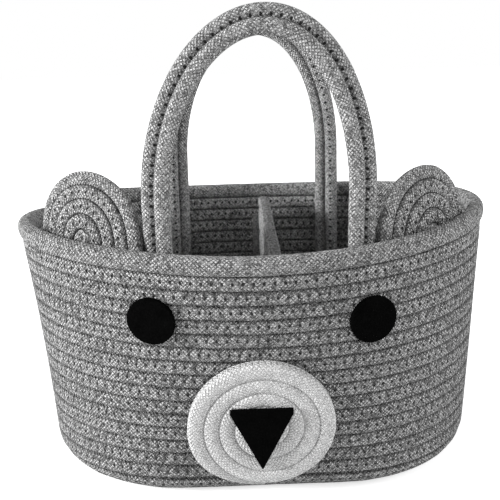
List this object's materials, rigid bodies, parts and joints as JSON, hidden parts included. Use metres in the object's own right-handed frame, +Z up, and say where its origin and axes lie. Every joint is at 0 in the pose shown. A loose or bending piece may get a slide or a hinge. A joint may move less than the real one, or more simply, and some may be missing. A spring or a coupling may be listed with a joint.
{
  "type": "diaper caddy",
  "caption": "Oval coiled-rope caddy with a bear's face and ears, two rope arch handles that tip, and a lift-out divider of folded rope.",
  "frame": {"origin": "on the floor under the middle of the rim", "axes": "+X along the length to the caddy's right end as its face is looked at, +Y from the face to the back, +Z up"},
  "size_m": [0.3462, 0.2608, 0.3289],
  "materials": {
    "grey_rope": "braided cotton rope, melange grey",
    "rim_rope": "thicker braided cotton rope, melange grey",
    "white_rope": "braided cotton rope, off-white",
    "black_felt": "pressed felt, black",
    "loop_tape": "loop tape, grey",
    "hook_tape": "hook tape, grey"
  },
  "bodies": {
    "basket": {"base_coil": "grey_rope", "wall_coil": "grey_rope", "rim_rope": "rim_rope", "left_ear": "grey_rope", "right_ear": "grey_rope", "muzzle_coil": "white_rope", "left_eye": "black_felt", "right_eye": "black_felt", "nose": "black_felt", "front_handle_left_outer_leg": "grey_rope", "front_handle_left_inner_leg": "grey_rope", "front_handle_right_outer_leg": "grey_rope", "front_handle_right_inner_leg": "grey_rope", "back_handle_left_outer_leg": "grey_rope", "back_handle_left_inner_leg": "grey_rope", "back_handle_right_outer_leg": "grey_rope", "back_handle_right_inner_leg": "grey_rope", "front_loop_strip": "loop_tape", "back_loop_strip": "loop_tape"},
    "front_handle": {"front_handle_outer_rope": "grey_rope", "front_handle_inner_rope": "grey_rope"},
    "back_handle": {"back_handle_outer_rope": "grey_rope", "back_handle_inner_rope": "grey_rope"},
    "divider": {"divider_panel": "grey_rope", "front_hook_strip": "hook_tape", "back_hook_strip": "hook_tape"}
  },
  "joints": [
    {"name": "front_handle_tip", "type": "hinge", "parent": "basket", "child": "front_handle", "pos_m": [0, -0.09713, 0.185], "axis": [1, 0, 0], "range_deg": [-40, 75]},
    {"name": "back_handle_tip", "type": "hinge", "parent": "basket", "child": "back_handle", "pos_m": [0, 0.09713, 0.185], "axis": [1, 0, 0], "range_deg": [-75, 40]},
    {"name": "divider_lift", "type": "slide", "parent": "basket", "child": "divider", "axis": [0, 0, 1], "range_m": [0, 0.1]}
  ]
}
